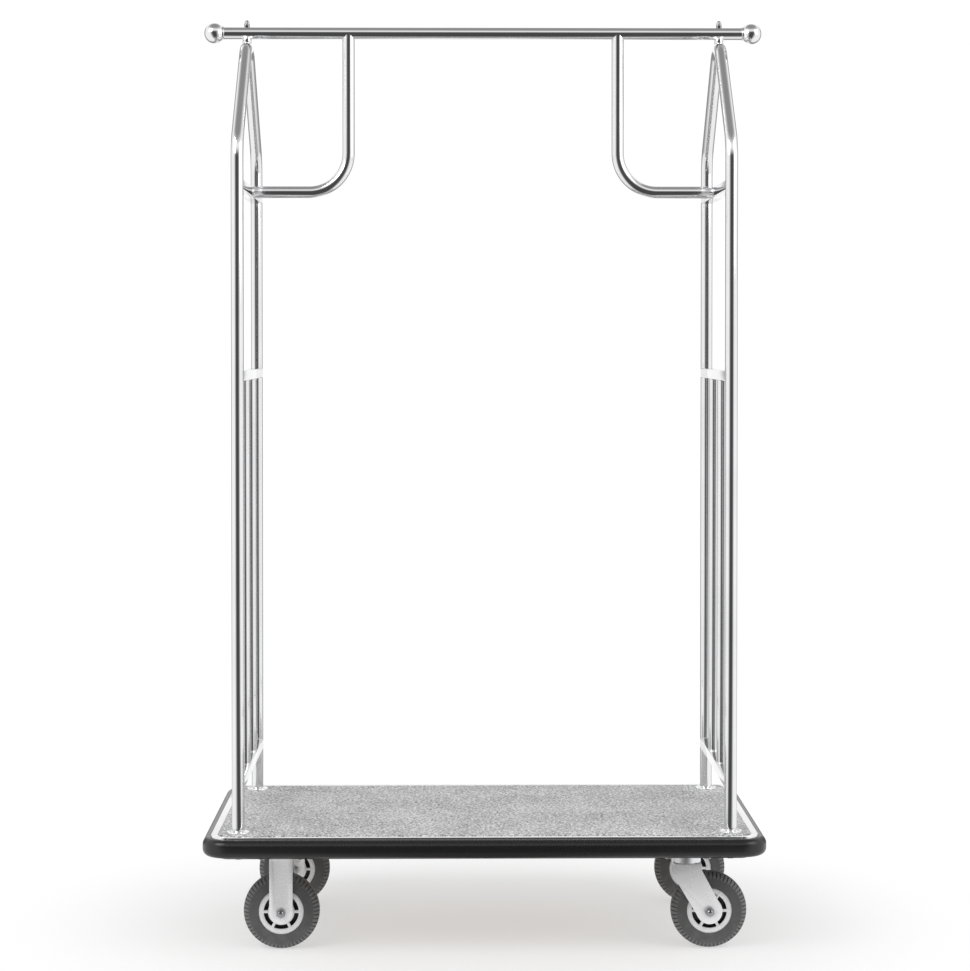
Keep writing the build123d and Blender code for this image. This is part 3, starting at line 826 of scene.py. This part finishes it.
def build_finials(finish):
    """Balls with a short neck over each end of the rail."""
    low, high = corners("finials")
    rail_low, rail_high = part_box("hanging_rail")
    radius = (high.z - low.z) / 2
    centre_z = (low.z + high.z) / 2
    tube_r = (rail_high[2] - rail_low[2]) / 2
    balls = []
    for side, sign in SIDES.items():
        centre = Vector((sign * (high.x - radius), 0, centre_z))
        start = math.asin((tube_r + NECK_WALL / 2) / radius)
        root = -radius * math.cos(start)
        outline = [
            (tube_r + NECK_WALL / 2, root - NECK_LENGTH),
            (tube_r + NECK_WALL, root - NECK_LENGTH + NECK_WALL / 2),
            (tube_r + NECK_WALL, root - NECK_WALL / 2),
        ]
        for number in range(BALL_ROWS + 1):
            turn = start + BALL_LEAD + (math.pi - start - BALL_LEAD - BALL_STOP) * number / BALL_ROWS
            outline.append((radius * math.sin(turn), -radius * math.cos(turn)))
        balls.append(turned(f"ball_{side}", centre, X_AXIS * sign, outline, 72, 50))
    pair = join("ball_finials", balls)
    place_piece(pair, "frame", "polished_steel", finish["steel_round"], "finials")


def build_braces(side, finish):
    """Tube that drops from the rail and bends out to the shoulder rail."""
    sign = SIDES[side]
    low, high = corners(f"hanger_brace_{side}")
    rail_low, rail_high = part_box("hanging_rail")
    radius = (high.y - low.y) / 2
    inner_x = (high.x - radius) if sign < 0 else (low.x + radius)
    outer_x = low.x if sign < 0 else high.x
    z = low.z + radius
    rail_z = (rail_low[2] + rail_high[2]) / 2
    points = [(inner_x, 0, rail_z), (inner_x, 0, z), (outer_x, 0, z)]
    tube = bent_tube(f"brace_tube_{side}", points, [BRACE_BEND], radius)
    place_piece(tube, "frame", "polished_steel", finish["steel_z"], f"hanger_brace_{side}")
    weld_bead(f"brace_bead_{side}", (outer_x - sign * MM, 0, z), X_AXIS, radius, finish)


def build_crown_fixings(finish):
    """Saddles, and domed nuts on the rail over both crowns."""
    saddles = from_node("apex_saddles", "crown_saddles", 0.4 * MM)
    place_piece(saddles, "frame", "polished_steel", finish["steel_round"], "apex_saddles")
    low, high = corners("acorn_nuts")
    flats_r = (high.y - low.y) / 2
    corner_r = flats_r / math.cos(HEXAGON_TURN)
    hex_top = high.z - DOME_HEIGHT
    dome_foot = DOME_HEIGHT - flats_r
    nuts = []
    for sign in SIDES.values():
        x = sign * (high.x - corner_r)
        clear_selection()
        bpy.ops.mesh.primitive_cylinder_add(
            vertices=6, radius=corner_r, depth=hex_top - low.z,
            location=(x, 0, (hex_top + low.z) / 2), rotation=(0, 0, HEXAGON_TURN),
        )
        nut = soften(named("nut"), 0.5 * MM, 2)
        outline = [(flats_r - DOME_INSET, -0.5 * MM), (flats_r - DOME_INSET, dome_foot)]
        for number in range(1, DOME_ROWS):
            turn = math.pi / 2 * number / DOME_ROWS
            outline.append(((flats_r - DOME_INSET) * math.cos(turn), dome_foot + flats_r * math.sin(turn)))
        nuts += [nut, turned("dome", (x, 0, hex_top), Z_AXIS, outline, 32, 60)]
    pair = join("domed_nuts", nuts)
    place_piece(pair, "frame", "polished_steel", finish["bolt"], "acorn_nuts")


def build_post_collars(finish):
    """Spun collars round the post feet, rising in a cove to the tube."""
    low, high = corners("base_flanges")
    _, tube_r, post_y, _ = tube_of("end_hoop_right")
    radius = high.y - post_y
    tall = high.z - low.z
    rim = tall - COVE_HEIGHT
    bore = tube_r + 0.05 * MM
    outline = [(bore, 0.0), (radius, 0.0), (radius, rim - 0.4 * MM), (radius - 0.3 * MM, rim)]
    for number in range(1, COVE_ROWS):
        share = number / COVE_ROWS
        r = radius - 0.6 * MM - (radius - tube_r - 2.2 * MM) * share
        outline.append((r, rim + (COVE_HEIGHT - 0.3 * MM) * share**1.6))
    outline += [(tube_r + 1.2 * MM, tall), (bore, tall - 0.3 * MM)]
    collars = []
    for side, sign in SIDES.items():
        x = sign * (high.x - radius)
        for end, way in ENDS.items():
            collars.append(turned(f"collar_{side}_{end}", (x, way * post_y, low.z), Z_AXIS, outline, 64, 50))
    group = join("post_collars", collars)
    place_piece(group, "frame", "polished_steel", finish["steel_round"], "base_flanges")


# -------- wheels and casters
def build_tyre(name, centre, radius, width, rim_r):
    """Round-shouldered tyre: smooth sidewalls, cross-cut tread blocks and two grooves by the middle."""
    clear_selection()
    half = width / 2
    bpy.ops.mesh.primitive_cylinder_add(
        vertices=TREAD_FACES, radius=radius, depth=width, location=centre, rotation=(math.pi / 2, 0, 0)
    )
    piece = named(name)
    for share, _ in TYRE_ROWS:
        for way in (-1, 1):
            edit_all(piece)
            bpy.ops.mesh.bisect(plane_co=(0, centre.y + way * share * half, 0), plane_no=(0, 1, 0))
    for share, size in [*TYRE_ROWS, (1.0, SIDEWALL_SHARE)]:
        pick_verts(piece, lambda co: abs(abs(co.y - centre.y) - share * half) < 1e-5)
        bpy.ops.transform.resize(value=(size, 1, size), center_override=centre)
    pick_faces(piece, lambda place, normal: abs(normal.y) > SQUARE)
    bpy.ops.mesh.inset(thickness=radius * SIDEWALL_SHARE - rim_r - RIM_BEAD)
    bpy.ops.mesh.inset(thickness=1.2 * MM, depth=0.5 * MM)
    bpy.ops.mesh.inset(thickness=1.3 * MM, depth=-2.3 * MM)
    line_bore(piece)
    cut_tread(piece, centre, radius, half)
    return tidy(piece, 30)


def line_bore(piece):
    """Take out the selected end faces and join their rims by a bore."""
    bpy.ops.mesh.delete(type="FACE")
    edit(piece, "EDGE")
    bpy.ops.mesh.select_non_manifold(extend=False)
    bpy.ops.mesh.bridge_edge_loops()


def cut_tread(piece, centre, radius, half):
    """Sink the cross cuts of both shoulders and the grooves on both sides of the middle."""
    spacing = 2 * math.pi / (TREAD_FACES / TREAD_PITCH)

    def out(place):
        return math.hypot(place.x - centre.x, place.z - centre.z)

    def in_cut(place, normal):
        share = (place.y - centre.y) / half
        if not CUT_SPAN[0] < abs(share) < CUT_SPAN[1] or out(place) < radius * CUT_LEAST_R:
            return False
        angle = math.atan2(place.z - centre.z, place.x - centre.x) + (spacing / 2 if share > 0 else 0)
        return (angle / spacing) % 1.0 < 1 / TREAD_PITCH

    pick_faces(piece, in_cut)
    bpy.ops.mesh.extrude_region_shrink_fatten(TRANSFORM_OT_shrink_fatten={"value": -TREAD_DEPTH})

    def in_groove(place, normal):
        share = abs(place.y - centre.y) / half
        return GROOVE_SPAN[0] < share < GROOVE_SPAN[1] and out(place) > radius * GROOVE_LEAST_R

    pick_faces(piece, in_groove)
    bpy.ops.mesh.extrude_region_shrink_fatten(TRANSFORM_OT_shrink_fatten={"value": -GROOVE_DEPTH})


def wheel_web(centre, core_r, barrel_r):
    """The middle web that joins the core of a wheel centre to its barrel; the hub finish paints it
    near-black as shade.
    """
    clear_selection()
    outer_r = barrel_r + WEB_BITE
    bpy.ops.mesh.primitive_cylinder_add(
        vertices=WEB_SIDES, radius=outer_r, depth=WEB_WALL, location=centre, rotation=(math.pi / 2, 0, 0)
    )
    piece = named("wheel_web")
    pick_faces(piece, lambda place, normal: abs(normal.y) > SQUARE)
    bpy.ops.mesh.inset(thickness=outer_r - core_r + WEB_BITE)
    line_bore(piece)
    return tidy(piece, 30)


def build_wheels(finish):
    """One tyre and one wheel centre, copied to the other three wheels."""
    first = None
    for side in SIDES:
        for end in ENDS:
            low, high = corners(f"tyre_{side}_{end}")
            centre = (low + high) / 2
            if first is None:
                rim_low, rim_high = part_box(f"wheel_hub_{side}_{end}")
                rim_r = (rim_high[2] - rim_low[2]) / 2
                bearing_low, bearing_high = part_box(f"bearings_{side}_{end}")
                core_r = (bearing_high[2] - bearing_low[2]) / 2 + CORE_WALL
                tyre = build_tyre("treaded_tyre", centre, (high.z - low.z) / 2, high.y - low.y, rim_r)
                wheel = from_node(f"wheel_hub_{side}_{end}", "slotted_wheel", 0.5 * MM)
                combine(wheel, wheel_web(centre, core_r, rim_r - BARREL_WALL), "UNION")
                first = (tyre, wheel, centre)
            else:
                tyre, wheel = (copy_of(piece, centre - first[2]) for piece in first[:2])
            body = f"wheel_{side}_{end}"
            rename(tyre, f"treaded_tyre_{side}_{end}")
            place_piece(tyre, body, "tyre_rubber", finish["tyre"], f"tyre_{side}_{end}")
            rename(wheel, f"slotted_wheel_{side}_{end}")
            place_piece(wheel, body, "hub_plastic", finish["hub"], f"wheel_hub_{side}_{end}")


def hex_nut(name, centre, outward, height):
    """A hexagon nut or bolt head, chamfered on both faces."""
    clear_selection()
    half = NUT_FLATS / 2
    radius = half / math.cos(HEXAGON_TURN)
    middle = centre + outward * height / 2
    turn = outward.to_track_quat("Z", "Y").to_euler()
    bpy.ops.mesh.primitive_cylinder_add(
        vertices=6, radius=radius, depth=height, location=middle, rotation=turn
    )
    nut = named(name)
    outline = [
        (half * 0.96, 0.0),
        (radius + 0.1 * MM, 0.8 * MM),
        (radius + 0.1 * MM, height - 1.1 * MM),
        (half * 0.94, height),
    ]
    combine(nut, turned("chamfer", centre, outward, outline, 48), "INTERSECT")
    return soften(nut, 0.25 * MM, 2, 25)


def axle_bolt(name, middle, outward, leg, top, tip):
    """An axle bolt: hexagon head on the inner leg, plain shank, and thread rings beyond the nut."""
    outline = [(AXLE_R, -leg - 2 * MM), (AXLE_R, top - THREAD_PITCH)]
    place = top - THREAD_PITCH / 2
    while place < tip - 2.4 * MM:
        outline.append((THREAD_ROOT, place))
        outline += [(AXLE_R, place + 0.45 * THREAD_PITCH), (AXLE_R, place + 0.6 * THREAD_PITCH)]
        place += THREAD_PITCH
    outline += [(THREAD_ROOT, place), (THREAD_ROOT, tip - 1.0 * MM)]
    outline += [(AXLE_R * 0.74, tip - 0.3 * MM), (AXLE_R * 0.5, tip)]
    shank = turned(name, middle, outward, outline, 40, 25)
    head = hex_nut("head", middle - outward * leg, -outward, HEAD_SHARE * (top - leg))
    return join(name, [shank, head])


def reach(node, way):
    """How far a node stands out from the wheel's mid-plane, on the outer side."""
    low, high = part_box(node)
    return (high[1] if way > 0 else -low[1]) - WHEEL_Y


def build_axles(finish):
    """Axle bolts and nuts of the four wheels."""
    rigid_bolts, rigid_nuts = [], []
    for side in SIDES:
        for end, way in ENDS.items():
            outward = Vector((0, way, 0))
            if side == "left":
                nut_node, bolt_node, sleeve = "rigid_axle_nuts", "rigid_axle_bolts", "rigid_axle_sleeves"
            else:
                names = (f"swivel_axle_{part}_{end}" for part in ("nut", "bolt", "sleeve"))
                nut_node, bolt_node, sleeve = names
            low, high = corners(nut_node)
            middle = Vector(((low.x + high.x) / 2, way * WHEEL_Y, (low.z + high.z) / 2))
            leg = reach(sleeve, way) + FORK_SHEET
            top, tip = reach(nut_node, way), reach(bolt_node, way)
            bolt = axle_bolt(f"axle_bolt_{side}_{end}", middle, outward, leg, top, tip)
            nut = hex_nut(f"axle_nut_{side}_{end}", middle + outward * leg, outward, top - leg)
            if side == "left":
                rigid_bolts.append(bolt)
                rigid_nuts.append(nut)
            else:
                place_piece(bolt, f"swivel_{end}", "zinc_steel", finish["bolt"], bolt_node)
                place_piece(nut, f"swivel_{end}", "zinc_steel", finish["bolt"], nut_node)
    bolts = join("rigid_axle_bolt_pair", rigid_bolts)
    place_piece(bolts, "frame", "zinc_steel", finish["bolt"], "rigid_axle_bolts")
    nuts = join("rigid_axle_nut_pair", rigid_nuts)
    place_piece(nuts, "frame", "zinc_steel", finish["bolt"], "rigid_axle_nuts")


def build_forks(finish):
    """Pressed forks with softened edges."""
    for end in ENDS:
        rigid = from_node(f"rigid_fork_{end}", f"rigid_fork_pressed_{end}", 0.35 * MM)
        place_piece(rigid, "frame", "zinc_steel", finish["fork"], f"rigid_fork_{end}")
        swivel = from_node(f"swivel_fork_{end}", f"swivel_fork_pressed_{end}", 0.8 * MM, 3)
        place_piece(swivel, f"swivel_{end}", "zinc_steel", finish["fork"], f"swivel_fork_{end}")


# -------- finishes of the CAD nodes
def dress_cad_nodes(finish):
    """Give every CAD node the finish of its material slot."""
    by_slot = {
        "polished_steel": "steel_round",
        "carpet": "carpet",
        "bumper_rubber": "bumper",
        "plywood": "plywood",
        "frame_paint": "frame",
        "zinc_steel": "zinc",
        "bearing_steel": "bearing",
        "tyre_rubber": "tyre",
        "hub_plastic": "hub",
    }
    slots = {entry["node"]: entry["material_slot"] for entry in frame["record"]["subparts"]}
    for name, piece in frame["nodes"].items():
        material = finish[by_slot[slots[name]]]
        for holder in piece.material_slots:
            holder.material = material
        if not piece.material_slots:
            piece.data.materials.append(material)


# -------- studio
def flag_group():
    """How dark the studio is in a direction: black in front, dim behind to both sides and overhead."""
    inputs = [("Direction", "NodeSocketVector", None)]
    group, start, end = new_group("studio flags", inputs, [("Dark", "NodeSocketFloat")])
    parts = group.nodes.new("ShaderNodeSeparateXYZ")
    group.links.new(start.outputs["Direction"], parts.inputs[0])
    to_camera = math_node(group, "MULTIPLY", parts.outputs["Y"], -1.0)
    away = math_node(group, "ABSOLUTE", math_node(group, "ARCTAN2", parts.outputs["X"], to_camera))
    level = math_node(group, "ABSOLUTE", parts.outputs["Z"])
    beside = ramp(group, away, *FRONT_FLAG_EDGE, 1.0, 0.0)
    front = math_node(group, "MULTIPLY", beside, ramp(group, level, 0.16, 0.62, 1.0, 0.0))
    behind = ramp(group, away, *BACK_FLAG_EDGE, 0.0, 1.0)
    behind = math_node(group, "MULTIPLY", behind, ramp(group, away, *BACK_GAP_EDGE, 1.0, 0.0))
    behind = math_node(group, "MULTIPLY", behind, ramp(group, level, 0.25, 0.55, 1.0, 0.0))
    top = ramp(group, parts.outputs["Z"], 0.55, 0.95, 0.0, 1.0)
    dark = math_node(group, "MULTIPLY", front, BLACK_FLAG)
    for dim in (behind, top):
        dark = math_node(group, "MAXIMUM", dark, math_node(group, "MULTIPLY", dim, DIM_FLAG))
    group.links.new(dark, end.inputs["Dark"])
    return group


def white_but_for(tree, dark):
    """The room's white less the flags' darkness, which is left out of what the camera sees directly."""
    seen = tree.nodes.new("ShaderNodeLightPath").outputs["Is Camera Ray"]
    hidden = math_node(tree, "MULTIPLY", dark, math_node(tree, "SUBTRACT", 1.0, seen))
    return math_node(tree, "SUBTRACT", WHITE_LEVEL, hidden)


def build_floor(flags):
    """Pale floor that fades to the white of the room, and carries the flags' darkness into reflections."""
    clear_selection()
    bpy.ops.mesh.primitive_circle_add(vertices=96, radius=FLOOR_RADIUS, fill_type="NGON", location=(0, 0, 0))
    floor = named("studio_floor")
    looks = {"Base_Color": (0.95, 0.95, 0.95, 1), "Roughness": 0.8, "Specular_IOR_Level": 0.0}
    material, tree, shader, place = start_material("pale floor", **looks)
    far = node(tree, "ShaderNodeVectorMath", operation="LENGTH")
    tree.links.new(place, far.inputs[0])
    share = ramp(tree, far.outputs["Value"], *FLOOR_FADE, 0.5, 1.0)
    flag = placed(tree, flags)
    tree.links.new(place, flag.inputs["Direction"])
    glow = node(tree, "ShaderNodeEmission", Color=(1, 1, 1, 1))
    tree.links.new(white_but_for(tree, flag.outputs["Dark"]), glow.inputs["Strength"])
    mix = tree.nodes.new("ShaderNodeMixShader")
    tree.links.new(share, mix.inputs["Fac"])
    tree.links.new(shader.outputs["BSDF"], mix.inputs[1])
    tree.links.new(glow.outputs["Emission"], mix.inputs[2])
    tree.links.new(mix.outputs["Shader"], tree.nodes["Material Output"].inputs["Surface"])
    floor.data.materials.append(material)


def build_room(flags):
    """White room with the flags in its reflections."""
    world = bpy.data.worlds.new("studio room")
    bpy.context.scene.world = world
    world.use_nodes = True
    tree = world.node_tree
    background = tree.nodes["Background"]
    flag = placed(tree, flags)
    tree.links.new(tree.nodes.new("ShaderNodeTexCoord").outputs["Generated"], flag.inputs["Direction"])
    background.inputs["Color"].default_value = (1, 1, 1, 1)
    tree.links.new(white_but_for(tree, flag.outputs["Dark"]), background.inputs["Strength"])


def add_softbox(name, place, aim, size, watts):
    """A soft rectangular light."""
    lamp = bpy.data.lights.new(name, "AREA")
    lamp.shape = "RECTANGLE"
    lamp.size, lamp.size_y = size
    lamp.energy = watts
    holder = bpy.data.objects.new(name, lamp)
    bpy.context.collection.objects.link(holder)
    holder.location = place
    holder.rotation_euler = (Vector(aim) - Vector(place)).to_track_quat("-Z", "Y").to_euler()


def build_camera():
    """Long-lens camera above mid height, tipped slightly down and shifted a little to frame the cart."""
    camera = bpy.data.cameras.new("camera")
    camera.sensor_fit = "HORIZONTAL"
    camera.sensor_width = SENSOR_WIDTH
    camera.lens = LENS
    camera.shift_y = LENS_SHIFT
    camera.clip_end = FAR_CLIP
    holder = bpy.data.objects.new("camera", camera)
    bpy.context.collection.objects.link(holder)
    holder.location = CAMERA_PLACE
    holder.rotation_euler = (math.pi / 2 - CAMERA_TIP, 0, CAMERA_TURN)
    bpy.context.scene.camera = holder


# -------- the whole cart
def build_cart():
    """Finishes first, then the pieces from the deck up, and the casters last."""
    finish = make_finishes()
    dress_cad_nodes(finish)
    build_carpet(finish)
    build_bumper(finish)
    build_trims(finish)
    for side in SIDES:
        build_hoop(side, finish)
        build_cross_rails(side, finish)
        build_spindles(side, finish)
        build_braces(side, finish)
    build_hanging_rail(finish)
    build_finials(finish)
    build_crown_fixings(finish)
    build_post_collars(finish)
    build_wheels(finish)
    build_forks(finish)
    build_axles(finish)


build_cart()
studio_flags = flag_group()
build_floor(studio_flags)
build_room(studio_flags)
for softbox in SOFTBOXES:
    add_softbox(*softbox)
build_camera()
bpy.context.scene.view_settings.view_transform = "Standard"
